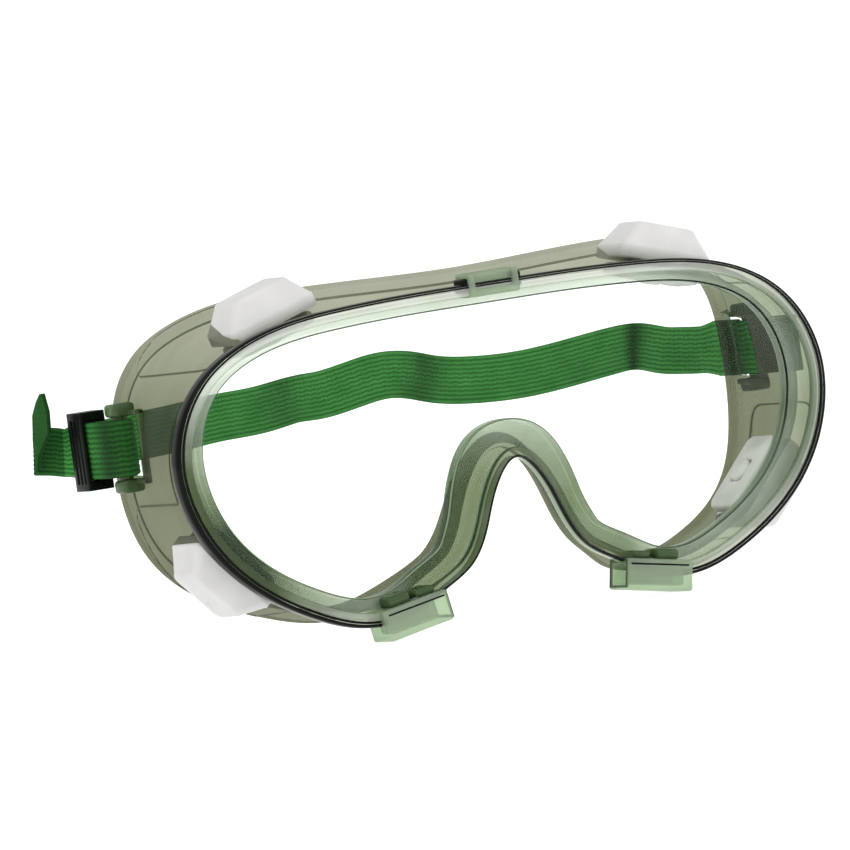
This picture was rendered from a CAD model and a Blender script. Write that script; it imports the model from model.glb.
import bpy
import bmesh
import math
import numpy as np
from mathutils import Matrix, Vector


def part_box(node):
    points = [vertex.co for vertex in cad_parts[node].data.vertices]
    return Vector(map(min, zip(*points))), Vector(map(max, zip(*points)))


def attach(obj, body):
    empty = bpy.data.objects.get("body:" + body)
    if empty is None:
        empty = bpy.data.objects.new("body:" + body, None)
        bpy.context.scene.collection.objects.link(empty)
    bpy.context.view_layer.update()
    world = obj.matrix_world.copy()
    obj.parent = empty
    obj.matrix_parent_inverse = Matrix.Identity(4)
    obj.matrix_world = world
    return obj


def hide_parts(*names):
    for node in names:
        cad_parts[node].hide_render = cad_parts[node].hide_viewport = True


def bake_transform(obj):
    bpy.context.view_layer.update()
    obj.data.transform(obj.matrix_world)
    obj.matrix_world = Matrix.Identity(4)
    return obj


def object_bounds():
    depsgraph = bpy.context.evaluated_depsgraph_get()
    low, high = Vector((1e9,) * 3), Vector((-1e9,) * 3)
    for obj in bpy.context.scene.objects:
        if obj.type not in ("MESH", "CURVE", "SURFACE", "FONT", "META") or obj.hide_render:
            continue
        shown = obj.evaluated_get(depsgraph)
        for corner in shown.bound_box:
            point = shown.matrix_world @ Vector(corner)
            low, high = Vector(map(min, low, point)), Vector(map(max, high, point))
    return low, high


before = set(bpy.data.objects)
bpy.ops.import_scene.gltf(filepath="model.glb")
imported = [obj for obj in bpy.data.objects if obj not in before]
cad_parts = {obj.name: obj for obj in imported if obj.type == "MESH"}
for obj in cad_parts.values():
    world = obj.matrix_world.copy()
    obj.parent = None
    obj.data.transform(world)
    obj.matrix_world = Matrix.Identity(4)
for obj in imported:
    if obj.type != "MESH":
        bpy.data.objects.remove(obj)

# Panoramic safety goggles. X across the face, -Y forward, +Z up. Sizes are in
# millimetres and are turned into metres when a mesh is made.
MM = 0.001
cad_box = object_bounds()


def node_box(node):
    """Lowest and highest corner of a CAD node, in millimetres."""
    low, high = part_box(node)
    return np.array(low) / MM, np.array(high) / MM


# ---- outlines
RIM_HALF = [
    (0, 35.7), (22, 35.6), (38, 35.0), (53, 33.4), (65, 29.9), (74, 24.5),
    (80.5, 16.5), (83.8, 5), (82.2, -6.5), (76.5, -17.5), (67.5, -26.5),
    (55.5, -33.7), (42.5, -37.8), (31, -36.4), (22, -31.8), (14.8, -27.3),
    (10, -20), (6, -10.8), (0, -5),
]
FACE_HALF = [
    (0, 46.6), (22, 46.8), (39.5, 46), (54, 43.6), (65, 39), (73, 32.8),
    (78.6, 23), (80.6, 9), (79.8, -6), (76, -17.5), (67.5, -27),
    (55.5, -33), (44, -35.8), (33, -34.8), (26, -31), (21, -24.5),
    (16.5, -15.5), (10.5, -5), (0, 3),
]
LENS_RADIUS = 1000.0
STEPS = 24                       # samples on each span of an outline
APEX = (len(RIM_HALF) - 1) * STEPS
APEX_EXTRA = 2.2                 # the bezel is wider over the nose


def hermite(start, end, leaving, arriving, t):
    """A point a share t along a cubic span, from its ends and its slopes there."""
    square = 3 * (end - start) - 2 * leaving - arriving
    cube = 2 * (start - end) + leaving + arriving
    return start + leaving * t + square * t ** 2 + cube * t ** 3, leaving + 2 * square * t + 3 * cube * t ** 2


def closed_spline(half):
    """The whole outline from its right half: places and inward normals."""
    right = [np.array(p, float) for p in half]
    left = [p * (-1, 1) for p in reversed(right[1:-1])]
    points = np.array(right + left)
    count = len(points)
    following = np.roll(points, -1, axis=0)
    spans = np.linalg.norm(following - points, axis=1)
    before = np.roll(spans, 1)
    rise = (following - points) / spans[:, None] ** 2
    matrix = np.zeros((count, count))
    for row in range(count):
        matrix[row, row] = 2 / before[row] + 2 / spans[row]
        matrix[row, row - 1] += 1 / before[row]
        matrix[row, (row + 1) % count] += 1 / spans[row]
    slopes = np.linalg.solve(matrix, 3 * (rise + np.roll(rise, 1, axis=0)))
    places, tangents = [], []
    for row in range(count):
        a, b, h = points[row], following[row], spans[row]
        m, n = slopes[row] * h, slopes[(row + 1) % count] * h
        for step in range(STEPS):
            place, tangent = hermite(a, b, m, n, step / STEPS)
            places.append(place)
            tangents.append(tangent)
    tangents = np.array(tangents)
    tangents /= np.linalg.norm(tangents, axis=1)[:, None]
    inward = np.stack([tangents[:, 1], -tangents[:, 0]], axis=1)
    return np.array(places), inward


RIM, RIM_IN = closed_spline(RIM_HALF)
FACE, FACE_IN = closed_spline(FACE_HALF)
COUNT = len(RIM)
from_apex = np.abs(np.arange(COUNT) - APEX) / (2.0 * STEPS)
NEAR_APEX = np.where(from_apex < 1, 0.5 + 0.5 * np.cos(np.pi * np.minimum(from_apex, 1)), 0.0)


def bow(x):
    """How far the lens curves back at a distance from the middle plane."""
    return LENS_RADIUS - np.sqrt(LENS_RADIUS ** 2 - np.square(x))


def rim_row(inset, depth):
    """Points all round the rim, moved in by inset, at a depth behind the lens."""
    flat = RIM + RIM_IN * (inset * np.ones(COUNT))[:, None]
    return np.stack([flat[:, 0], depth + bow(flat[:, 0]), flat[:, 1]], axis=1)


WALL_START, WALL_END = 3.0, 41.0
WALL_INSET = 2.3
WALL_THICKNESS = 2.0


def wall_row(inset, depth):
    """Points all round the tapering wall; depth is one number for each sample."""
    share = ((depth - WALL_START) / (WALL_END - WALL_START))[:, None]
    front = RIM + RIM_IN * (WALL_INSET + np.asarray(inset) * np.ones(COUNT))[:, None]
    back = FACE + FACE_IN * (np.asarray(inset) * np.ones(COUNT))[:, None]
    flat = front * (1 - share) + back * share
    return np.stack([flat[:, 0], depth, flat[:, 1]], axis=1)


HEAD_CENTRE, HEAD_RADIUS = 195.0, 175.0
NOSE_CENTRE, NOSE_RADIUS = 49.0, 40.0
NOSE_TOP = 14.0
NOSE_SOFT = 1.2


def face_depth():
    """Depth of the face edge for each sample: the head's curve, less deep over the nose."""
    depth = np.full(COUNT, 30.0)
    for _ in range(6):
        place = wall_row(1.0, depth)
        x, z = place[:, 0], place[:, 2]
        head = HEAD_CENTRE - np.sqrt(HEAD_RADIUS ** 2 - x ** 2)
        nose = NOSE_CENTRE - np.sqrt(np.maximum(NOSE_RADIUS ** 2 - x ** 2, 1.0))
        nose = np.where(z < NOSE_TOP, nose, head + 20)
        depth = -NOSE_SOFT * np.log(np.exp(-head / NOSE_SOFT) + np.exp(-nose / NOSE_SOFT))
    return depth


FACE_DEPTH = face_depth()


# ---- materials
def node(tree, kind, **inputs):
    """A shader node with values set on its own sockets."""
    made = tree.nodes.new(kind)
    for name, value in inputs.items():
        made.inputs[name.replace("_", " ")].default_value = value
    return made


def colour(*rgb):
    """A linear colour from 0-255 display values."""
    return tuple((c / 255.0) ** 2.2 for c in rgb) + (1.0,)


def noise(tree, scale, detail=3.0, stretch=None):
    """Noise in the object's own space, in metres."""
    place = tree.nodes.new("ShaderNodeTexCoord").outputs["Object"]
    if stretch:
        mapping = tree.nodes.new("ShaderNodeMapping")
        mapping.inputs["Scale"].default_value = stretch
        tree.links.new(place, mapping.inputs["Vector"])
        place = mapping.outputs["Vector"]
    made = node(tree, "ShaderNodeTexNoise", Scale=scale, Detail=detail)
    tree.links.new(place, made.inputs["Vector"])
    return made.outputs["Fac"]


def blend_colours(tree, factor, first, second):
    """first to second by factor; each is a colour or a socket."""
    mix = tree.nodes.new("ShaderNodeMix")
    mix.data_type = "RGBA"
    tree.links.new(factor, mix.inputs[0])
    for socket, value in ((mix.inputs[6], first), (mix.inputs[7], second)):
        if isinstance(value, tuple):
            socket.default_value = value
        else:
            tree.links.new(value, socket)
    return mix.outputs[2]


def remap(tree, source, low, high, to_low, to_high):
    made = tree.nodes.new("ShaderNodeMapRange")
    tree.links.new(source, made.inputs["Value"])
    for name, value in zip(("From Min", "From Max", "To Min", "To Max"), (low, high, to_low, to_high)):
        made.inputs[name].default_value = value
    return made.outputs["Result"]


def attribute(tree, name):
    made = tree.nodes.new("ShaderNodeAttribute")
    made.attribute_name = name
    return made.outputs["Fac"]


def calculate(tree, operation, *sources, clamp=False):
    """The result of a Math node; each source is a socket or a number."""
    made = tree.nodes.new("ShaderNodeMath")
    made.operation = operation
    made.use_clamp = clamp
    for socket, source in zip(made.inputs, sources):
        if isinstance(source, float):
            socket.default_value = source
        else:
            tree.links.new(source, socket)
    return made.outputs[0]


def mix_shaders(tree, share, first, second, output):
    """Sends a mix of two shaders to the material's output."""
    mix = tree.nodes.new("ShaderNodeMixShader")
    tree.links.new(share, mix.inputs[0])
    tree.links.new(first.outputs[0], mix.inputs[1])
    tree.links.new(second.outputs[0], mix.inputs[2])
    tree.links.new(mix.outputs[0], output.inputs[0])


def new_material(name):
    made = bpy.data.materials.new(name)
    made.use_nodes = True
    tree = made.node_tree
    tree.nodes.clear()
    return made, tree, tree.nodes.new("ShaderNodeOutputMaterial")


def bump(tree, height, strength, distance):
    made = node(tree, "ShaderNodeBump", Strength=strength, Distance=distance)
    tree.links.new(height, made.inputs["Height"])
    return made.outputs["Normal"]


EDGE_COVER = 0.75                # how solid a moulded line looks


def vinyl(name, light, dark, tint, deep, cover, edge_colour, rough=0.22, gloss=0.4, lined=False):
    """Soft see-through vinyl: tinted clear mixed with cloudy. The mesh says where it is
    deeper in colour (shade) and where a dark moulded line runs (edge)."""
    made, tree, output = new_material(name)
    light, dark, tint, deep, edge_colour = (colour(*c) for c in (light, dark, tint, deep, edge_colour))
    cloud = remap(tree, noise(tree, 30.0, 3.0), 0.3, 0.7, 0.0, 0.16)
    streak = remap(tree, noise(tree, 55.0, 4.0, (1.0, 2.5, 1.0)), 0.35, 0.65, 0.0, 0.14)
    fine = noise(tree, 400.0, 2.0)
    edge = attribute(tree, "edge")
    if lined:
        gap = calculate(tree, "ABSOLUTE", attribute(tree, "panel"))
        edge = calculate(tree, "MAXIMUM", remap(tree, gap, 0.10, 0.34, 0.85, 0.0), edge)
    depth = calculate(tree, "ADD", attribute(tree, "shade"), cloud, clamp=True)
    depth = calculate(tree, "ADD", depth, streak, clamp=True)
    body = node(tree, "ShaderNodeBsdfPrincipled", Specular_IOR_Level=gloss)
    base = blend_colours(tree, depth, light, dark)
    tree.links.new(blend_colours(tree, edge, base, edge_colour), body.inputs["Base Color"])
    tree.links.new(remap(tree, fine, 0.3, 0.7, rough - 0.04, rough + 0.05), body.inputs["Roughness"])
    tree.links.new(bump(tree, fine, 0.02, 0.0001), body.inputs["Normal"])
    clear = tree.nodes.new("ShaderNodeBsdfTransparent")
    through = blend_colours(tree, depth, tint, deep)
    tree.links.new(blend_colours(tree, edge, through, edge_colour), clear.inputs["Color"])
    share = calculate(tree, "MAXIMUM", remap(tree, depth, 0.0, 1.0, cover - 0.05, cover + 0.08),
                      remap(tree, edge, 0.0, 1.0, 0.0, EDGE_COVER))
    mix_shaders(tree, share, clear, body, output)
    return made


LENS_GLOSS = 0.14                # strongest reflection, at a grazing angle


def clear_lens(name):
    """Clear sheet with a faint green cast and a gloss that grows at the rim."""
    made, tree, output = new_material(name)
    clear = node(tree, "ShaderNodeBsdfTransparent", Color=colour(253, 255, 253))
    fine = noise(tree, 60.0, 2.0)
    gloss = node(tree, "ShaderNodeBsdfPrincipled", Base_Color=colour(235, 245, 238), Specular_IOR_Level=0.6)
    tree.links.new(remap(tree, fine, 0.3, 0.7, 0.03, 0.07), gloss.inputs["Roughness"])
    fresnel = node(tree, "ShaderNodeFresnel", IOR=1.45)
    mix_shaders(tree, remap(tree, fresnel.outputs[0], 0.0, 1.0, 0.0, LENS_GLOSS), clear, gloss, output)
    return made


def satin_plastic(name, light, dark, rough, grain, gloss=0.45):
    """Moulded plastic with a fine matt grain and slight clouding."""
    made, tree, output = new_material(name)
    cloud = remap(tree, noise(tree, 120.0, 4.0), 0.3, 0.7, 0.0, 1.0)
    fine = noise(tree, 1600.0, 3.0)
    body = node(tree, "ShaderNodeBsdfPrincipled", Specular_IOR_Level=gloss)
    base = blend_colours(tree, cloud, colour(*light), colour(*dark))
    tree.links.new(base, body.inputs["Base Color"])
    tree.links.new(remap(tree, fine, 0.3, 0.7, rough - 0.06, rough + 0.08), body.inputs["Roughness"])
    tree.links.new(bump(tree, fine, grain, 0.00012), body.inputs["Normal"])
    tree.links.new(body.outputs[0], output.inputs[0])
    return made


PICK_PITCH = 1.2                 # from one crosswise thread to the next, in millimetres


def woven_elastic(name, light, mid, dark, deep):
    """Ribbed elastic: lengthwise ribs with fine crosswise picks, from the band's own lengths."""
    made, tree, output = new_material(name)
    light, mid, dark, deep = (colour(*c) for c in (light, mid, dark, deep))
    uv = tree.nodes.new("ShaderNodeUVMap")
    uv.uv_map = "band"
    split = tree.nodes.new("ShaderNodeSeparateXYZ")
    tree.links.new(uv.outputs[0], split.inputs[0])
    along = calculate(tree, "MULTIPLY", split.outputs[0], 2 * math.pi / PICK_PITCH)
    picks = remap(tree, calculate(tree, "SINE", along), -1.0, 1.0, 0.0, 1.0)
    rib = attribute(tree, "rib")
    patchy = noise(tree, 160.0, 5.0)
    fuzz = noise(tree, 1500.0, 2.0)
    body = node(tree, "ShaderNodeBsdfPrincipled", Specular_IOR_Level=0.08, Sheen_Weight=0.04,
                Sheen_Roughness=0.5, Sheen_Tint=colour(120, 220, 130))
    shade = blend_colours(tree, remap(tree, patchy, 0.3, 0.7, 0.0, 0.55), light, mid)
    shade = blend_colours(tree, remap(tree, rib, 0.0, 0.8, 0.3, 1.0), dark, shade)
    shade = blend_colours(tree, remap(tree, picks, 0.0, 1.0, 0.12, 0.0), shade, dark)
    shade = blend_colours(tree, attribute(tree, "fold"), shade, deep)
    tree.links.new(shade, body.inputs["Base Color"])
    tree.links.new(remap(tree, fuzz, 0.3, 0.7, 0.62, 0.86), body.inputs["Roughness"])
    height = calculate(tree, "ADD", picks, fuzz)
    tree.links.new(bump(tree, height, 0.3, 0.0001), body.inputs["Normal"])
    tree.links.new(body.outputs[0], output.inputs[0])
    return made


INK = (16, 24, 17)
WALL_VINYL = vinyl("wall_vinyl", (176, 179, 168), (92, 98, 78), (212, 214, 204),
                   (171, 175, 155), 0.13, (60, 66, 44), lined=True)
PALE_VINYL = vinyl("pale_vinyl", (250, 252, 249), (82, 96, 64), (254, 255, 254),
                   (212, 220, 196), 0.34, (44, 60, 42), 0.12)
GREEN_VINYL = vinyl("green_vinyl", (196, 210, 190), (46, 66, 40), (240, 246, 238),
                    (188, 205, 178), 0.42, (30, 44, 30), 0.14)
DARK_VINYL = vinyl("dark_vinyl", (12, 18, 11), (5, 8, 4), (26, 38, 26),
                   (12, 18, 12), 0.92, (140, 160, 130), 0.12, 0.12)
POCKET_VINYL = vinyl("pocket_vinyl", (196, 212, 186), (58, 84, 48), (206, 222, 198),
                     (118, 148, 106), 0.36, (34, 52, 34), 0.10, 0.9)
LUG_VINYL = vinyl("lug_vinyl", (86, 110, 72), (34, 52, 28), (150, 172, 138),
                  (92, 120, 80), 0.55, INK, 0.16, 0.4)
LENS_CLEAR = clear_lens("lens_clear")
LENS_EDGE = vinyl("lens_edge", (196, 212, 196), (84, 112, 82), (214, 228, 214),
                  (140, 168, 138), 0.4, INK, 0.1)
VENT_WHITE = satin_plastic("vent_white", (206, 205, 203), (196, 195, 193), 0.6, 0.15)
ADJUSTER_GREEN = satin_plastic("adjuster_green", (14, 24, 14), (6, 12, 6), 0.34, 0.15, 0.1)
ELASTIC = woven_elastic("elastic_weave", (72, 142, 70), (38, 106, 42), (14, 56, 20),
                        (6, 24, 9))
THREAD = satin_plastic("sewing_thread", (24, 92, 42), (14, 66, 28), 0.7, 0.5)


# ---- meshing
def make_object(name, points, faces, materials, indexes=None, smooth=True):
    """A mesh object from millimetre points."""
    mesh = bpy.data.meshes.new(name)
    mesh.from_pydata([tuple(p * MM) for p in np.asarray(points, float)], [], [tuple(f) for f in faces])
    for material in materials:
        mesh.materials.append(material)
    if indexes is not None:
        mesh.polygons.foreach_set("material_index", indexes)
    mesh.polygons.foreach_set("use_smooth", [smooth] * len(mesh.polygons))
    made = bpy.data.objects.new(name, mesh)
    bpy.context.scene.collection.objects.link(made)
    return made


def fix_normals(made):
    work = bmesh.new()
    work.from_mesh(made.data)
    bmesh.ops.recalc_face_normals(work, faces=work.faces)
    work.to_mesh(made.data)
    work.free()


def set_attribute(made, name, values):
    layer = made.data.attributes.new(name, "FLOAT", "POINT")
    layer.data.foreach_set("value", np.asarray(values, np.float32))


def placed(points, place):
    """Points moved and turned to a place."""
    return np.array(points, float) @ np.array(place.to_3x3()).T + np.array(place.translation)


def tube_faces(rings, count):
    """Faces of a closed tube of rings with count points each, flat ends included."""
    faces = []
    for ring in range(rings - 1):
        for step in range(count):
            a, b = ring * count + step, ring * count + (step + 1) % count
            faces.append((a, b, b + count, a + count))
    faces.append(tuple(reversed(range(count))))
    faces.append(tuple(range((rings - 1) * count, rings * count)))
    return faces


BEVEL_SEGMENTS = 3
BEVEL_ANGLE = 32.0               # edges sharper than this many degrees are rounded


def bevelled(made, width):
    """Rounds the sharp edges of a finished mesh."""
    modifier = made.modifiers.new("round", "BEVEL")
    modifier.width = width * MM
    modifier.segments = BEVEL_SEGMENTS
    modifier.limit_method = "ANGLE"
    modifier.angle_limit = math.radians(BEVEL_ANGLE)
    modifier.harden_normals = False
    apply_modifiers(made)
    return made


def apply_modifiers(made):
    depsgraph = bpy.context.evaluated_depsgraph_get()
    final = bpy.data.meshes.new_from_object(made.evaluated_get(depsgraph))
    made.modifiers.clear()
    old = made.data
    made.data = final
    bpy.data.meshes.remove(old)


def joined(name, objects):
    """One object of several; the materials of each are kept."""
    with bpy.context.temp_override(active_object=objects[0], selected_editable_objects=objects):
        bpy.ops.object.join()
    objects[0].name = name
    objects[0].data.name = name
    return objects[0]


def cells(name, xs, ys, zs, material, round_off, place=None, empty=()):
    """A block on a grid of planes with rounded edges; the cells in empty are left out."""
    shape = (len(xs) - 1, len(ys) - 1, len(zs) - 1)

    def solid(i, j, k):
        inside = 0 <= i < shape[0] and 0 <= j < shape[1] and 0 <= k < shape[2]
        return inside and (i, j, k) not in empty

    lookup, points, faces = {}, [], []

    def corner(i, j, k):
        if (i, j, k) not in lookup:
            lookup[(i, j, k)] = len(points)
            points.append((xs[i], ys[j], zs[k]))
        return lookup[(i, j, k)]

    sides = [((1, 0, 0), ((1, 0, 0), (1, 1, 0), (1, 1, 1), (1, 0, 1))),
             ((-1, 0, 0), ((0, 0, 0), (0, 0, 1), (0, 1, 1), (0, 1, 0))),
             ((0, 1, 0), ((0, 1, 0), (0, 1, 1), (1, 1, 1), (1, 1, 0))),
             ((0, -1, 0), ((0, 0, 0), (1, 0, 0), (1, 0, 1), (0, 0, 1))),
             ((0, 0, 1), ((0, 0, 1), (1, 0, 1), (1, 1, 1), (0, 1, 1))),
             ((0, 0, -1), ((0, 0, 0), (0, 1, 0), (1, 1, 0), (1, 0, 0)))]
    for i in range(shape[0]):
        for j in range(shape[1]):
            for k in range(shape[2]):
                if not solid(i, j, k):
                    continue
                for step, corners in sides:
                    if not solid(i + step[0], j + step[1], k + step[2]):
                        faces.append([corner(i + a, j + b, k + c) for a, b, c in corners])
    if place is not None:
        points = placed(points, place)
    return bevelled(make_object(name, points, faces, [material]), round_off)


def place_at(x, y, z, lean):
    """A place in millimetres, leaning about the depth axis by lean degrees."""
    return Matrix.Translation((x, y, z)) @ Matrix.Rotation(math.radians(lean), 4, "Y")


def stacked(name, sections, material, place):
    """A closed block from sections of the same count, each (points, height)."""
    points = [(x, y, height) for flat, height in sections for x, y in flat]
    faces = tube_faces(len(sections), len(sections[0][0]))
    made = make_object(name, placed(points, place), faces, [material])
    fix_normals(made)
    return made


def disc_stack(name, profile, material, place, segments):
    """A turned piece: profile is (radius, height) from the foot to the top."""
    turns = [2 * math.pi * step / segments for step in range(segments)]
    sections = [([(radius * math.cos(turn), radius * math.sin(turn)) for turn in turns], height)
                for radius, height in profile]
    return stacked(name, sections, material, place)


# ---- frame sweep
def smooth_step(value, low, high):
    share = np.clip((value - low) / (high - low), 0, 1)
    return share * share * (3 - 2 * share)


def round_box_distance(y, z, centre, half, corner):
    """Distance outside a rectangle with rounded corners; negative inside."""
    dy = np.abs(y - centre[0]) - (half[0] - corner)
    dz = np.abs(z - centre[1]) - (half[1] - corner)
    outside = np.hypot(np.maximum(dy, 0), np.maximum(dz, 0))
    return outside + np.minimum(np.maximum(dy, dz), 0) - corner


PANEL_RISE = 0.75
PANEL_CORNER = 4.0
PANEL_FAR, NO_LINE = 9.0, 90.0   # distances that stand for far from a border, and for no line
PANELS = [                       # reach across, middle (depth, height), half size
    (54, (18.0, 35.0), (13.6, 9.6)),
    (56, (19.0, -21.0), (13.6, 17.4)),
]


def panel_gap(rows):
    """Distance of each point from the nearest panel's border, negative on a panel."""
    rows = np.asarray(rows)
    nearest = np.full(rows.shape[:2], PANEL_FAR)
    for reach, centre, half in PANELS:
        distance = round_box_distance(rows[:, :, 1], rows[:, :, 2], centre, half, PANEL_CORNER)
        distance = np.maximum(distance, reach - np.abs(rows[:, :, 0]))
        nearest = np.minimum(nearest, distance)
    return nearest


LUG_DEPTH, LUG_LEVEL, LUG_OFFSET = 31.0, 10.0, 82.0
WINDOW = (24.5, 36.0, 2.8, 17.2)     # front, back, bottom, top
WINDOW_ROWS = (26, 44)
WALL_ROWS = 46
WALL_FRONT = 5.6                 # depth of the wall's first row behind the lens
DARK, PALE, GREEN, WALL = range(4)
FRONT_ROWS = [                   # share of the bead's width, inset beyond it, depth, material
    (1, 1.90, -2.30, GREEN), (1, 1.86, -2.62, GREEN), (1, 1.70, -2.84, PALE), (1, 1.30, -2.90, PALE),
    (1, 0.60, -2.90, PALE), (1, 0.12, -2.86, PALE), (1, 0.0, -2.80, DARK), (0.86, 0, -2.99, DARK),
    (0.70, 0, -2.99, DARK), (0.62, 0, -2.86, PALE), (0.54, 0, -2.86, DARK), (0.46, 0, -2.97, DARK),
    (0.28, 0, -2.88, DARK), (0.12, 0, -2.62, DARK), (0.03, 0, -2.2, DARK), (0, 0, -1.6, DARK),
    (0, 0, -0.6, DARK), (0, 0.03, 0.1, DARK), (0, 0.16, 0.5, DARK), (0, 0.42, 0.75, GREEN),
    (0, 0.62, 1.3, WALL), (0, 0.85, 2.4, WALL), (0, 1.15, 3.6, WALL), (0, 1.6, 4.9, WALL),
]
LAND_ROWS = [                    # share of the land's extra width, inset, depth, material
    (0, 3.6, 5.05, GREEN), (1, 5.55, 5.0, PALE), (1, 5.85, 4.84, GREEN), (1, 5.97, 4.5, GREEN),
    (1, 6.0, 3.4, GREEN), (1, 6.0, 2.3, PALE), (1, 5.98, 1.6, DARK), (1, 5.85, 1.28, DARK),
    (1, 5.6, 1.14, PALE), (1, 5.2, 1.1, PALE), (0.5, 4.3, 1.1, PALE), (0, 3.3, 1.1, PALE),
    (0, 1.8, 1.1, GREEN), (0, 1.8, -1.1, PALE), (0, 2.5, -1.1, PALE), (1, -9, -1.1, GREEN),
]
LIP_ROWS = (                     # inset, distance in front of the face edge
    (-0.3, 2.5), (-0.4, 1.4), (-0.2, 0.6), (0.3, 0.12), (1.2, 0.0),
    (2.2, 0.1), (2.8, 0.5), (3.1, 1.2), (2.9, 2.2), (2.3, 2.9),
)
LIP_LINE = 0.10                  # how much of the dark line's colour the lip has
LIP_DEEP = 3.0
LAND_TOP, LAND_SIDE = 0.9, 2.6   # the land is wider at the bottom and at the sides
BEAD_WIDTH = 1.0
BEAD_SIDE, BEAD_FOOT = 0.9, 0.5  # the dark bead widens at the sides and at the bottom
BEAD_NOSE = 0.62                 # its width over the nose


def land_extra():
    """How much further in than its plain inset the land reaches, all round."""
    return LAND_SIDE * RIM_IN[:, 0] ** 2 + LAND_TOP * RIM_IN[:, 1] + APEX_EXTRA * NEAR_APEX


def nose_share():
    """One along the outline over the nose, nought elsewhere."""
    return smooth_step(30.0 - np.abs(RIM[:, 0]), 0.0, 10.0) * smooth_step(-RIM[:, 1], -2.0, 2.0)


def bead_width():
    """Width of the dark bead all round, narrow over the nose."""
    wide = BEAD_WIDTH + BEAD_SIDE * RIM_IN[:, 0] ** 2 + BEAD_FOOT * np.maximum(RIM_IN[:, 1], 0)
    return wide + (BEAD_NOSE - wide) * nose_share()


def vinyl_shade(points):
    """How deep the bezel's colour is: clear at the upper left, green low down and on the right."""
    x, z = points[:, 0], points[:, 2]
    low = smooth_step(-z, -26.0, 22.0)
    right = smooth_step(x, 30.0, 84.0)
    left = smooth_step(-x, 64.0, 84.0) * smooth_step(-z, -26.0, -8.0)
    corner = np.exp(-((x + 68.0) ** 2 + (z + 22.0) ** 2) / 14.0 ** 2)
    nose = smooth_step(34.0 - np.abs(x), 0.0, 8.0) * smooth_step(-z, -8.0, 0.0)
    bright = np.exp(-((x - 62.0) ** 2 + (z + 26.0) ** 2) / 16.0 ** 2)
    shade = 0.45 * low + 0.34 * right + 0.55 * left + 0.55 * corner + 0.36 * nose - 0.5 * bright
    return np.clip(shade, 0, 1)


def wall_shade(points):
    """How deep the wall's colour is: lighter over the top."""
    return 0.75 - 0.72 * smooth_step(points[:, 2], 8.0, 50.0)


def frame_rows():
    """All rows of the frame's closed section, with the material between rows."""
    at_nose = nose_share()
    rows, kinds, lines = [], [], []

    def add(row, kind, line=None):
        rows.append(row)
        kinds.append(kind)
        lines.append(np.zeros(COUNT) if line is None else line)

    bead = bead_width()
    for share, inset, depth, kind in FRONT_ROWS:
        outside = share == 0 and kind == DARK
        add(rim_row(inset + share * bead, depth), kind, at_nose if outside else None)
    start = WALL_FRONT + bow(RIM[:, 0])
    lip = np.maximum(FACE_DEPTH - LIP_DEEP, start + 0.4)
    shares = np.interp(np.arange(WALL_ROWS + 1), (0, *WINDOW_ROWS, WALL_ROWS), lug_shares())
    outer = [wall_row(0.0, start + (lip - start) * share) for share in shares]
    rise = 1 - smooth_step(panel_gap(outer), -0.5, 0.5)
    first_outer = len(rows)
    for index, share in enumerate(shares):
        depth = start + (lip - start) * share
        add(wall_row(-PANEL_RISE * rise[index], depth), WALL)
    for inset, behind in LIP_ROWS:
        add(wall_row(inset, np.maximum(FACE_DEPTH - behind, start + 0.5)), WALL, np.full(COUNT, LIP_LINE))
    first_inner = len(rows)
    for share in reversed(shares):
        add(wall_row(WALL_THICKNESS, start + (lip - start) * share), WALL)
    extra = land_extra()
    foot = smooth_step(-RIM[:, 1], 4.0, 24.0)
    faint = 0.75 * at_nose + 0.55 * (1 - smooth_step(RIM[:, 0], 10.0, 50.0)) + 0.35 * foot
    faint = np.clip(faint, 0, 0.85)
    stain = 0.8 * np.exp(-((RIM[:, 0] + 73.0) / 11.0) ** 2 - ((RIM[:, 1] + 20.0) / 12.0) ** 2)
    for share, inset, depth, kind in LAND_ROWS:
        if inset < 0:
            add(rim_row(1.85 + bead, depth), kind)
        else:
            add(rim_row(inset + share * extra, depth), kind, faint if kind == DARK else stain)
    return rows, kinds, lines, first_outer, first_inner


def lug_shares():
    """Shares of the wall's depth at its start, the window's front and back, and its end."""
    at_lug = int(np.argmin(np.hypot(RIM[:, 0] - 83.0, RIM[:, 1] - LUG_LEVEL)))
    start = WALL_FRONT + bow(RIM[at_lug, 0])
    length = FACE_DEPTH[at_lug] - LIP_DEEP - start
    return 0.0, (WINDOW[0] - start) / length, (WINDOW[1] - start) / length, 1.0


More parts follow.
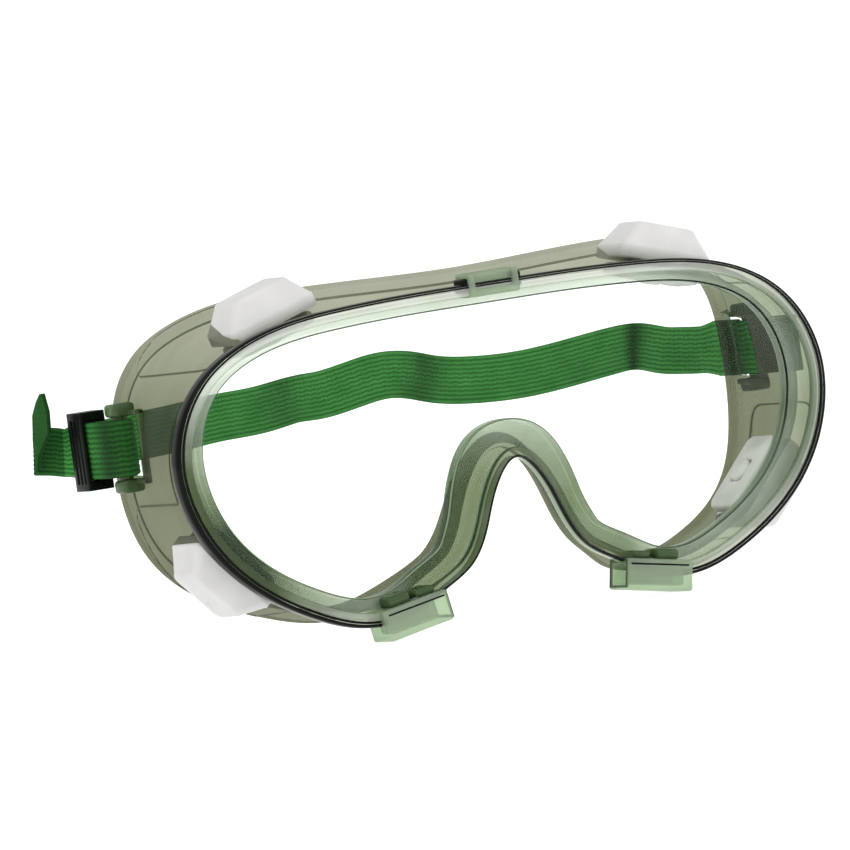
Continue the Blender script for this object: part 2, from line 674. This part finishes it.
def frame_shell():
    """Bezel, walls, raised panels and face lip as one closed skin with two strap windows."""
    rows, kinds, lines, first_outer, first_inner = frame_rows()
    points = np.array(rows)
    total = len(rows)
    middle = points[first_outer + WINDOW_ROWS[0]]
    in_window = (middle[:, 2] > WINDOW[2]) & (middle[:, 2] < WINDOW[3]) & (np.abs(middle[:, 0]) > 60)
    open_rows = set(range(first_outer + WINDOW_ROWS[0], first_outer + WINDOW_ROWS[1]))
    open_rows |= {2 * WALL_ROWS - 1 - (row - first_outer) + first_inner - WALL_ROWS for row in open_rows}
    faces, indexes = [], []
    for row in range(total):
        for step in range(COUNT):
            ahead = (step + 1) % COUNT
            if row in open_rows and in_window[step] and in_window[ahead]:
                continue
            low, high = row * COUNT, ((row + 1) % total) * COUNT
            faces.append((low + step, low + ahead, high + ahead, high + step))
            indexes.append(kinds[row])

    def inner(row):
        return first_inner + WALL_ROWS - (row - first_outer)

    front_row, back_row = (first_outer + r for r in WINDOW_ROWS)
    for step in range(COUNT):
        ahead = (step + 1) % COUNT
        if in_window[step] and in_window[ahead]:
            for row in (front_row, back_row):
                faces.append((row * COUNT + step, row * COUNT + ahead,
                              inner(row) * COUNT + ahead, inner(row) * COUNT + step))
                indexes.append(GREEN)
        if in_window[step] != in_window[ahead]:
            side = step if in_window[step] else ahead
            for row in range(front_row, back_row):
                faces.append((row * COUNT + side, (row + 1) * COUNT + side,
                              inner(row + 1) * COUNT + side, inner(row) * COUNT + side))
                indexes.append(GREEN)
    made = make_object("vinyl_frame", points.reshape(-1, 3), faces,
                       [DARK_VINYL, PALE_VINYL, GREEN_VINYL, WALL_VINYL], indexes)
    set_attribute(made, "edge", np.array(lines).reshape(-1))
    walls = range(first_outer - 4, first_inner + WALL_ROWS + 1)
    shade = [wall_shade(row) if index in walls else vinyl_shade(row) for index, row in enumerate(rows)]
    set_attribute(made, "shade", np.array(shade).reshape(-1))
    gap = panel_gap(rows)
    lip = first_outer + WALL_ROWS + 1
    gap[lip:] = np.where(gap[lip - 1] < 0, -NO_LINE, NO_LINE)
    set_attribute(made, "panel", gap.reshape(-1))
    fix_normals(made)
    return made


EAR_REACH, EAR_TALL, EAR_DEEP = 7.2, 3.0, 2.8
LUG_BAR = [(1.2, -8.6), (1.6, -8.2), (1.6, -6.0), (1.5, -3.0), (1.5, 3.0), (1.6, 6.0), (1.6, 8.2), (1.2, 8.6)]
SURROUND = 1.3                   # width of the raised edge round a window


def lugs(sign):
    """Two rounded ears, the raised edge of the window, and the bar the strap goes round."""
    pieces = []
    ears = sorted((sign * 78.8, sign * 84.2))
    for name, low_z in (("upper", LUG_LEVEL + EAR_REACH), ("lower", LUG_LEVEL - EAR_REACH - EAR_TALL)):
        pieces.append(cells("ear_" + name, ears, (LUG_DEPTH - EAR_DEEP, LUG_DEPTH + EAR_DEEP),
                            (low_z, low_z + EAR_TALL), LUG_VINYL, 0.8))
    place = Matrix.Translation((sign * LUG_OFFSET, LUG_DEPTH, LUG_LEVEL))
    pieces.append(disc_stack("lug_bar", LUG_BAR, LUG_VINYL, place, 24))
    front, back, bottom, top = WINDOW
    xs = sorted((sign * 79.4, sign * 81.0))
    full = (bottom - SURROUND, top + SURROUND)
    for name, ys, zs in (("sill", (front - 1.4, back + 0.2), (full[0], bottom)),
                         ("head", (front - 1.4, back + 0.2), (top, full[1])),
                         ("jamb", (front - 1.4, front - 0.1), full)):
        pieces.append(cells("window_" + name, xs, ys, zs, LUG_VINYL, 0.4))
    return pieces


POCKET = (31.5, -35.2, 10.0)     # place across, height and lean
POCKET_HUMPS = ((-4.0, 2.6, 4.0), (2.8, 2.9, 4.7))      # place across, half width, height


def pocket_place(sign):
    """Where the pocket of one side is, and how it leans."""
    return place_at(sign * POCKET[0], 0.0, POCKET[1], sign * POCKET[2])


def pockets():
    """Hollow blocks under the rim that hold the lens tabs, open towards the nose."""
    pieces = []
    for sign in (-1, 1):
        place = pocket_place(sign)
        xs = sorted(sign * across for across in (8.5, 6.9, -6.2, -8.5))
        hollow = {(1, 1, 1), (0 if sign > 0 else 2, 1, 1)}
        pieces.append(cells("pocket_block", xs, (-4.4, -3.1, 3.2, 5.0), (-5.0, -3.7, 0.9, 2.2),
                            POCKET_VINYL, 1.0, place, hollow))
        mouth = sorted((sign * -8.0, sign * -8.65))
        pieces.append(cells("pocket_mouth", mouth, (-4.1, -3.5, 3.6, 4.4), (-4.6, -4.0, 1.1, 1.9),
                            LUG_VINYL, 0.25, place, {(0, 1, 1)}))
        crease = sorted((sign * 7.4, sign * -7.6))
        pieces.append(cells("pocket_crease", crease, (-4.5, -3.6), (0.7, 1.15), DARK_VINYL, 0.18, place))
        for across, wide, tall in POCKET_HUMPS:
            pieces.append(cells("pocket_hump", (sign * across - wide, sign * across + wide), (-2.9, 4.6),
                                (2.0, tall), LUG_VINYL, 1.0, place))
    pieces.append(cells("top_block", (-6.4, -4.8, 4.8, 6.4), (-3.8, -2.0, 3.4), (32.5, 34.2, 36.8, 38.0),
                        POCKET_VINYL, 0.6, None, {(1, 0, 1), (1, 0, 2)}))
    for sign in (-1, 1):
        pieces.append(cells("top_stop", sorted((sign * 6.2, sign * 7.4)), (-2.8, 2.6), (33.6, 37.0),
                            DARK_VINYL, 0.5))
    return pieces


def build_frame():
    pieces = [frame_shell()] + lugs(1) + lugs(-1) + pockets()
    made = joined("vinyl_frame", pieces)
    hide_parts("goggle_frame")
    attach(made, "frame")
    return made


# ---- lens
LENS_INSET = 2.0
LENS_HALF = 0.95                 # half the sheet's thickness
LENS_SPLIT = ((0, 60, 82), (16, 8, 4.8))     # height that parts its upper from its lower outline
LENS_COLUMNS, LENS_LEVELS = 150, 26


def build_lens():
    """The bowed clear sheet with its polished edge and three tabs."""
    outline = RIM + RIM_IN * LENS_INSET
    top = outline[:, 1] > np.interp(np.abs(outline[:, 0]), *LENS_SPLIT)
    upper = outline[top]
    lower = outline[~top]
    upper = upper[np.argsort(upper[:, 0])]
    lower = lower[np.argsort(lower[:, 0])]
    half = min(upper[-1, 0], lower[-1, 0]) - 0.02
    xs = half * np.sin(np.linspace(-math.pi / 2, math.pi / 2, LENS_COLUMNS))
    high = np.interp(xs, upper[:, 0], upper[:, 1])
    low = np.interp(xs, lower[:, 0], lower[:, 1])
    points, faces, indexes = [], [], []
    levels = np.linspace(0, 1, LENS_LEVELS)
    for side in (-1, 1):
        for x, bottom, upper_z in zip(xs, low, high):
            for level in levels:
                points.append((x, bow(x) + side * LENS_HALF, bottom + (upper_z - bottom) * level))
    sheet = LENS_COLUMNS * LENS_LEVELS
    for column in range(LENS_COLUMNS - 1):
        for level in range(LENS_LEVELS - 1):
            a = column * LENS_LEVELS + level
            b = a + LENS_LEVELS
            faces.append((a, b, b + 1, a + 1))
            faces.append((sheet + a, sheet + a + 1, sheet + b + 1, sheet + b))
            indexes += [0, 0]
    last = LENS_LEVELS - 1
    for column in range(LENS_COLUMNS - 1):
        for level in (0, last):
            a = column * LENS_LEVELS + level
            b = a + LENS_LEVELS
            faces.append((a, b, sheet + b, sheet + a) if level else (b, a, sheet + a, sheet + b))
            indexes.append(1)
    for column in (0, LENS_COLUMNS - 1):
        for level in range(LENS_LEVELS - 1):
            a = column * LENS_LEVELS + level
            faces.append((a, a + 1, sheet + a + 1, sheet + a))
            indexes.append(1)
    made = make_object("clear_lens", points, faces, [LENS_CLEAR, LENS_EDGE], indexes)
    fix_normals(made)
    pieces = [made]
    for sign in (-1, 1):
        pieces.append(cells("lens_tab", (-5.4, 5.4), (-0.4, 1.5), (-3.3, 2.2), LENS_EDGE, 0.4,
                            pocket_place(sign)))
    pieces.append(cells("lens_tab", (-5.0, 5.0), (-LENS_HALF, LENS_HALF), (33.0, 36.7), LENS_EDGE, 0.4))
    made = joined("clear_lens", pieces)
    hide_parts("lens")
    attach(made, "frame")


# ---- vents
VENTS = {"upper": (51.0, 14.5, 35.4, 17.0), "lower": (70.2, 14.5, -21.3, 133.0)}
VENT_SIZE = (23.0, 15.5)
VENT_HEIGHT = 6.3
VENT_CORNER = 2.4
VENT_TAPER = 5.0 / 8.5           # the width tapers less than the length
VENT_PLATE = (20.0, 12.5)
CAP_SECTIONS = (                 # how much shorter than the foot, height
    (0.0, -2.4), (0.0, 0.1), (0.2, 0.45), (0.8, 0.75), (7.0, 5.2), (7.6, 5.75), (8.3, 6.1),
    (9.4, 6.28), (11.0, VENT_HEIGHT),
)
POST = [(2.3, -7.0), (2.9, -6.6), (2.9, -5.6), (2.6, -5.2), (2.6, -2.6), (2.6, -1.0)]
PIP = [(0.7, 0.0), (0.7, 0.3), (0.5, 0.45), (0.2, 0.5)]
PIP_SINK = 0.3
PLATE_RINGS = (                  # round hole or outline, radius or how much shorter, height
    (False, 0.7, -3.5), (False, 0.0, -3.9), (False, 0.0, -5.7), (False, 0.7, -6.1), (False, 5.2, -6.1),
    (False, 5.6, -6.4), (True, 4.1, -6.4), (True, 3.3, -6.0), (True, 3.3, -3.5),
)


def vent_place(level, sign):
    """Where one vent is: its place on the wall and its lean."""
    x, y, z, lean = VENTS[level]
    return place_at(sign * x, y, z, sign * lean)


def rounded_rectangle(length, width, corner, segments=9):
    """Points round a rectangle with round corners."""
    points = []
    for cx, cy, turn in ((1, 1, 0), (-1, 1, 90), (-1, -1, 180), (1, -1, 270)):
        for step in range(segments):
            angle = math.radians(turn + 90.0 * step / (segments - 1))
            points.append((cx * (length / 2 - corner) + corner * math.cos(angle),
                           cy * (width / 2 - corner) + corner * math.sin(angle)))
    return points


def vent_cap(level, side, sign):
    """White hooded cap: a foot flange, sloping sides, a soft top edge, a snap post and two pips."""
    place = vent_place(level, sign)
    length, width = VENT_SIZE
    sections = []
    for shrink, height in CAP_SECTIONS:
        corner = max(VENT_CORNER - shrink * 0.1, 1.0)
        sections.append((rounded_rectangle(length - shrink, width - shrink * VENT_TAPER, corner), height))
    pieces = [stacked("cap", sections, VENT_WHITE, place)]
    pieces.append(disc_stack("post", POST, VENT_WHITE, place, 32))
    for across in (-2.6, 2.6):
        pip = place @ Matrix.Translation((across, 2.0, VENT_HEIGHT - PIP_SINK))
        pieces.append(disc_stack("pip", PIP, VENT_WHITE, pip, 16))
    made = joined("vent_cap_%s_%s_shell" % (level, side), pieces)
    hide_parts("vent_cap_%s_%s" % (level, side))
    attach(made, "frame")


def vent_seat(level, side, sign):
    """Thin plate inside the wall with rounded corners, and the hole the cap's post snaps through."""
    length, width = VENT_PLATE
    outline = rounded_rectangle(length, width, VENT_CORNER, 13)
    turns = [math.atan2(across[1] * length / width, across[0]) for across in outline]
    points, faces = [], []
    count, rings = len(outline), len(PLATE_RINGS)
    for hole, size, height in PLATE_RINGS:
        if hole:
            points += [(size * math.cos(turn), size * math.sin(turn), height) for turn in turns]
        else:
            points += [(px * (1 - size / length), py * (1 - size / width), height) for px, py in outline]
    for ring in range(rings):
        for step in range(count):
            ahead = (step + 1) % count
            low, high = ring * count, ((ring + 1) % rings) * count
            faces.append((low + step, low + ahead, high + ahead, high + step))
    made = make_object("vent_seat_%s_%s_plate" % (level, side), placed(points, vent_place(level, sign)),
                       faces, [VENT_WHITE])
    fix_normals(made)
    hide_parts("vent_seat_%s_%s" % (level, side))
    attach(made, "frame")


# ---- the elastic
BAND_WIDTH = 11.0
BAND_HALF = 0.5                  # half thickness between the ribs
RIB_COUNT = 11
RIB_RISE = 0.13
RIB_STEPS = 5
WAVER, WAVER_LENGTH = 0.34, 2.6  # how far the ribs waver, and from one waver to the next
CREASES = ((10.0, 5.0, 0.50), (66.5, 2.6, 0.78), (-27.0, 4.0, 0.30))    # place across, reach, depth
BEHIND = 50.0                    # the creases are on the band deeper than this
TAIL_CORNER = (-85.2, 52.0)      # the tail starts outside and behind this


def band_section(travelled, scale):
    """The ribbed section: across the width, through the thickness, and how high on a rib.
    The ribs waver a little along the band."""
    half = BAND_WIDTH / 2 * scale
    steps = RIB_COUNT * RIB_STEPS
    side = []
    for step in range(steps + 1):
        across = -half + 2 * half * step / steps
        waver = WAVER * math.sin(2 * math.pi * travelled / WAVER_LENGTH) * math.sin(math.pi * step / steps)
        lift = math.sin(math.pi * RIB_COUNT * step / steps + waver) ** 2
        taper = 1.0 if 0 < step < steps else 0.35
        side.append((across, BAND_HALF * taper + RIB_RISE * lift, lift))
    under = [(across, -thick, lift) for across, thick, lift in reversed(side)]
    return side + under


def spline_path(controls, spacing):
    """A smooth curve through hand-placed rows (x, y, z, lean) at an even spacing."""
    rows = np.array(controls, float)
    lengths = np.linalg.norm(np.diff(rows[:, :3], axis=0), axis=1)
    knots = np.concatenate([[0], np.cumsum(lengths)])
    count = len(rows)
    matrix = np.zeros((count, count))
    right = np.zeros((count, rows.shape[1]))
    for row in range(1, count - 1):
        h0, h1 = lengths[row - 1], lengths[row]
        matrix[row, row - 1] = 1 / h0
        matrix[row, row] = 2 / h0 + 2 / h1
        matrix[row, row + 1] = 1 / h1
        right[row] = 3 * ((rows[row] - rows[row - 1]) / h0 ** 2 + (rows[row + 1] - rows[row]) / h1 ** 2)
    matrix[0, :2] = 2, 1
    right[0] = 3 * (rows[1] - rows[0]) / lengths[0]
    matrix[-1, -2:] = 1, 2
    right[-1] = 3 * (rows[-1] - rows[-2]) / lengths[-1]
    slopes = np.linalg.solve(matrix, right)
    samples = np.linspace(0, knots[-1], int(knots[-1] / spacing) + 1)
    path = []
    for s in samples:
        row = min(int(np.searchsorted(knots, s, side="right")) - 1, count - 2)
        h = lengths[row]
        t = (s - knots[row]) / h
        a, b, m, n = rows[row], rows[row + 1], slopes[row] * h, slopes[row + 1] * h
        path.append(hermite(a, b, m, n, t)[0])
    return np.array(path)


def fold_shade(place):
    """How deep in a fold the elastic is: round the bars, at three creases behind, and in the tail."""
    x, y = place[0], place[1]
    reach = 7.0 if x < 0 or y > LUG_DEPTH else 3.2
    bar = 0.82 * math.exp(-((y - LUG_DEPTH - 1.0) / reach) ** 2) if abs(x) > 76 else 0.0
    creases = sum(deep * math.exp(-((x - across) / wide) ** 2) for across, wide, deep in CREASES)
    tail = 0.55 if x < TAIL_CORNER[0] and y > TAIL_CORNER[1] else 0.0
    return min(1.0, bar + (creases if y > BEHIND else 0.0) + tail)


def band_scale(place):
    """The elastic spreads where it turns round a bar."""
    spread = min(max((abs(place[0]) - 76.0) / 5.0, 0.0), 1.0)
    behind = min(max((place[1] - 48.5) / 5.0, 0.0), 1.0)
    return 1 + 0.18 * spread * (1 - behind)


def ribbed_skin(name, rings):
    """Elastic from rings of the same count; each point has its place, its height on a rib,
    how deep in a fold it is, and its lengths along and across the band."""
    flat = [point for ring in rings for point in ring]
    faces = tube_faces(len(rings), len(rings[0]))
    made = make_object(name, [point[0] for point in flat], faces, [ELASTIC])
    set_attribute(made, "rib", [point[1] for point in flat])
    set_attribute(made, "fold", [point[2] for point in flat])
    layer = made.data.uv_layers.new(name="band")
    lengths = np.array([point[3] for point in flat])
    corners = np.zeros(len(made.data.loops), int)
    made.data.loops.foreach_get("vertex_index", corners)
    layer.data.foreach_set("uv", lengths[corners].astype(np.float32).reshape(-1))
    fix_normals(made)
    return made


BAND_SPACING = 0.5


def band(name, controls):
    """Ribbed elastic along a path; lean tips its upper edge outwards, in degrees."""
    path = spline_path(controls, BAND_SPACING)
    middle = path[:, :3]
    tangents = np.gradient(middle, axis=0)
    tangents /= np.linalg.norm(tangents, axis=1)[:, None]
    rings = []
    travelled = 0.0
    for index, (centre, tangent, lean) in enumerate(zip(middle, tangents, path[:, 3])):
        if index:
            travelled += float(np.linalg.norm(centre - middle[index - 1]))
        up = np.array((0.0, 0.0, 1.0)) - tangent * tangent[2]
        up /= np.linalg.norm(up)
        out = np.cross(tangent, up)
        turn = math.radians(lean)
        wide = up * math.cos(turn) + out * math.sin(turn)
        thick = out * math.cos(turn) - up * math.sin(turn)
        fold = fold_shade(centre)
        rings.append([(centre + wide * across + thick * through, lift, fold, (travelled, across))
                      for across, through, lift in band_section(travelled, band_scale(centre))])
    return ribbed_skin(name, rings)


FLAP_LINE = 91.5                 # distance of the turned-up tail from the middle plane
FLAP_FOLD = 0.62                 # how deep its colour is
FLAP_BACK = ((7.0, 57.0), (14.0, 56.6), (19.6, 55.2), (22.5, 52.4), (24.4, 49.7))
FLAP_FRONT = ((7.0, 56.4), (10.4, 55.0), (15.5, 48.2), (20.2, 47.6), (24.4, 49.2))


def tail_flap():
    """The cut end of the tail, folded up to a point; rows of height and depth give its edges."""
    rings = []
    foot, tip = FLAP_BACK[0][0], FLAP_BACK[-1][0]
    for height in np.linspace(foot, tip, 40):
        back = np.interp(height, *zip(*FLAP_BACK))
        front = np.interp(height, *zip(*FLAP_FRONT))
        curl = 0.05 * (height - foot)
        ring = []
        for across, through, lift in band_section(height, 1.0):
            depth = front + (back - front) * (across / BAND_WIDTH + 0.5)
            place = np.array((-FLAP_LINE + through + 0.3 * math.sin(curl), depth, height))
            ring.append((place, lift, FLAP_FOLD, (height, across)))
        rings.append(ring)
    return ribbed_skin("tail_flap", rings)


THREAD_LINE, RETURN_LINE, HEM_LINE = 82.2, 84.7, 82.5
HEM_FOLD = 1.32                  # from the hem's inner layer to its outer one
BAR_GAP = 2.75                   # from a bar's axis to the middle of the elastic round it
BACK = 58.2                      # depth of the band behind the goggles


def long_band():
    """From the right hem, in round the bar, behind the goggles and in to the left bar."""
    level = LUG_LEVEL
    controls = [
        (HEM_LINE, 12.0, level, 0), (HEM_LINE, 17.0, level, 0), (HEM_LINE, 21.5, level, 0),
        (HEM_LINE - 0.5, 25.4, level, 0), (80.7, 28.4, level, 0), (79.3, 31.0, level, 0),
        (80.9, 33.9, level, 0), (82.0, 36.6, level, 0), (THREAD_LINE, 41.0, level, 0),
        (THREAD_LINE, 46.5, level, 0), (81.9, 51.6, level, 0), (80.2, 54.6, level + 0.1, 0),
        (77.2, 56.6, level + 0.5, 4), (73.2, BACK, 11.2, 6), (69.5, BACK + 2.4, 12.6, -8),
        (62.0, BACK + 1.4, 13.0, -4), (50.0, BACK - 1.2, 12.1, 2), (36.0, BACK - 0.4, 11.0, 6),
        (25.0, BACK + 1.6, 11.3, 4), (14.0, BACK + 1.8, 12.9, -4), (6.0, BACK - 0.6, 15.0, -10),
        (-1.0, BACK - 1.2, 15.8, -4), (-8.0, BACK + 0.4, 14.8, 4), (-16.0, BACK + 1.4, 13.6, 2),
        (-24.0, BACK - 0.8, 13.6, -8), (-31.0, BACK + 1.0, 12.6, 0), (-42.0, BACK + 1.2, 12.2, 4),
        (-56.0, BACK - 0.4, 11.4, 2), (-68.0, BACK + 0.2, 10.8, 0), (-73.4, BACK - 0.5, 10.4, 0),
        (-77.4, 56.2, level + 0.1, 0), (-80.3, 54.4, level, 0), (-81.9, 52.4, level, 0),
        (-THREAD_LINE, 49.6, level, 0), (-THREAD_LINE, 45.0, level, 0), (-THREAD_LINE, 40.6, level, 0),
        (-82.0, 36.6, level, 0), (-80.9, 33.9, level, 0), (-79.6, 32.0, level, 0),
    ]
    made = band("elastic_band", controls)
    outer = HEM_LINE + HEM_FOLD
    fold = band("hem_fold", [(outer, 12.2, level, 0), (outer + 0.02, 16.0, level, 0), (outer, 21.0, level, 0)])
    made = joined("elastic_band", [made, fold])
    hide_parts("strap_main", "strap_end_right")
    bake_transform(made)      # metres


def loop_and_tail():
    """Round the left bar, back through the adjuster, and out as a folded tail."""
    level = LUG_LEVEL
    controls = [(-79.45, 32.2, level, 0)]
    for turn in (0, 45, 90, 135, 180):
        angle = math.radians(turn)
        controls.append((-LUG_OFFSET + BAR_GAP * math.cos(angle), LUG_DEPTH - BAR_GAP * math.sin(angle),
                         level, 0))
    controls += [
        (-RETURN_LINE, 35.5, level, 0), (-RETURN_LINE, 40.5, level, 0), (-RETURN_LINE, 46.0, level, 0),
        (-RETURN_LINE, 51.4, level, 0), (-RETURN_LINE - 0.5, 54.2, level, 2),
        (-RETURN_LINE - 2.2, 57.0, level + 0.6, 4), (-RETURN_LINE - 4.4, 58.2, level + 1.0, 2),
        (-RETURN_LINE - 6.6, 57.2, level + 1.3, -4),
    ]
    made = joined("elastic_loop", [band("elastic_loop", controls), tail_flap()])
    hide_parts("strap_loop_left")
    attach(made, "frame")


STITCH = [(0.08, -0.72), (0.2, -0.62), (0.27, -0.3), (0.27, 0.3), (0.2, 0.62), (0.08, 0.72)]
STITCH_PITCH = 2.1


def stitches():
    """Short bars of thread that stand on the hem in two rows."""
    pieces = []
    low, high = node_box("hem_stitching")
    for row in (low[1] + 0.25, high[1] - 0.25):
        for count in range(5):
            place = Matrix.Translation((low[0] + 0.05, row, low[2] + 0.7 + STITCH_PITCH * count))
            pieces.append(disc_stack("stitch", STITCH, THREAD, place, 12))
    made = joined("hem_thread", pieces)
    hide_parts("hem_stitching")
    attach(made, "frame")


GRIP_PITCH, GRIP_RISE = 1.8, 0.25


def build_adjuster():
    """Ladder slide: two slots side by side, with grip ribs on its outer face."""
    low, high = node_box("adjuster")
    xs = (low[0], low[0] + 1.1, low[0] + 3.0, low[0] + 3.6, low[0] + 5.5, high[0])
    zs = (low[2], low[2] + 2.0, high[2] - 2.0, high[2])
    slots = {(1, 0, 1), (3, 0, 1)}
    pieces = [cells("slide", xs, (low[1], high[1]), zs, ADJUSTER_GREEN, 0.45, None, slots)]
    for count in range(3):
        middle = low[1] + 1.7 + GRIP_PITCH * count
        pieces.append(cells("grip", (low[0] - GRIP_RISE, low[0] + 0.5), (middle - 0.35, middle + 0.35),
                            (low[2] + 1.6, high[2] - 1.6), ADJUSTER_GREEN, 0.22))
    made = joined("adjuster_slide", pieces)
    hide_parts("adjuster")
    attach(made, "slide")


# ---- floor and light
FLOOR_HALF = 30000.0
FLOOR_DROP = 0.3                 # gap under the lowest point of the CAD model
FLOOR_GLOW = 0.86
CLEAR_LAYERS = 32                # see-through surfaces that one ray may cross


def build_stage():
    """A white floor that glows a little, so it stays an even white."""
    low = np.array(cad_box[0]) / MM
    made, tree, output = new_material("paper_floor")
    body = node(tree, "ShaderNodeBsdfPrincipled", Roughness=0.9, Specular_IOR_Level=0.0,
                Emission_Color=(1.0, 1.0, 1.0, 1.0), Emission_Strength=FLOOR_GLOW)
    tree.links.new(blend_colours(tree, noise(tree, 3.0), colour(190, 190, 190), colour(184, 184, 184)),
                   body.inputs["Base Color"])
    tree.links.new(body.outputs[0], output.inputs[0])
    size, level = FLOOR_HALF, low[2] - FLOOR_DROP
    corners = [(-size, -size, level), (size, -size, level), (size, size, level), (-size, size, level)]
    floor = make_object("floor", corners, [(0, 1, 2, 3)], [made], smooth=False)


def area_light(name, place, aim, size, power):
    data = bpy.data.lights.new(name, "AREA")
    data.shape = "DISK"
    data.size = size
    data.energy = power
    made = bpy.data.objects.new(name, data)
    bpy.context.scene.collection.objects.link(made)
    made.location = place
    made.rotation_euler = (Vector(aim) - Vector(place)).to_track_quat("-Z", "Y").to_euler()


def build_light():
    world = bpy.data.worlds.new("studio")
    world.use_nodes = True
    world.node_tree.nodes["Background"].inputs["Color"].default_value = (1.0, 1.0, 1.0, 1.0)
    world.node_tree.nodes["Background"].inputs["Strength"].default_value = 1.0
    bpy.context.scene.world = world
    area_light("key", (-0.7, -1.1, 1.2), (0, 0, 0), 0.9, 6.0)
    area_light("fill", (1.2, -0.6, 0.5), (0, 0, 0), 0.9, 3.0)
    bpy.context.scene.view_settings.view_transform = "Standard"
    bpy.context.scene.cycles.transparent_max_bounces = CLEAR_LAYERS


# ---- camera
AZIMUTH, ELEVATION, ROLL = -27.0, 2.3, 8.1
DISTANCE = 3500.0
FRAME_WIDTH = 193.2              # what the picture spans at that distance
SENSOR = 36.0
AIM = (-19.1, 2.5)               # the picture's middle, left of and above the origin


def build_camera():
    turn, rise, roll = (math.radians(a) for a in (AZIMUTH, ELEVATION, ROLL))
    towards = Vector((math.sin(turn) * math.cos(rise), -math.cos(turn) * math.cos(rise), math.sin(rise)))
    level = Vector((math.cos(turn), math.sin(turn), 0))
    above = towards.cross(level)
    right = level * math.cos(roll) - above * math.sin(roll)
    up = level * math.sin(roll) + above * math.cos(roll)
    place = (right * AIM[0] + up * AIM[1] + towards * DISTANCE) * MM
    data = bpy.data.cameras.new("camera")
    data.sensor_width = SENSOR
    data.lens = SENSOR * DISTANCE / FRAME_WIDTH
    data.clip_start = 0.1
    data.clip_end = 100.0
    made = bpy.data.objects.new("camera", data)
    bpy.context.scene.collection.objects.link(made)
    turned = Matrix((right, up, towards)).transposed().to_4x4()
    made.matrix_world = Matrix.Translation(place) @ turned
    bpy.context.scene.camera = made


build_frame()
build_lens()
for vent_level in VENTS:
    for vent_side, vent_sign in (("right", 1), ("left", -1)):
        vent_cap(vent_level, vent_side, vent_sign)
        vent_seat(vent_level, vent_side, vent_sign)
long_band()
loop_and_tail()
stitches()
build_adjuster()
build_stage()
build_light()
build_camera()
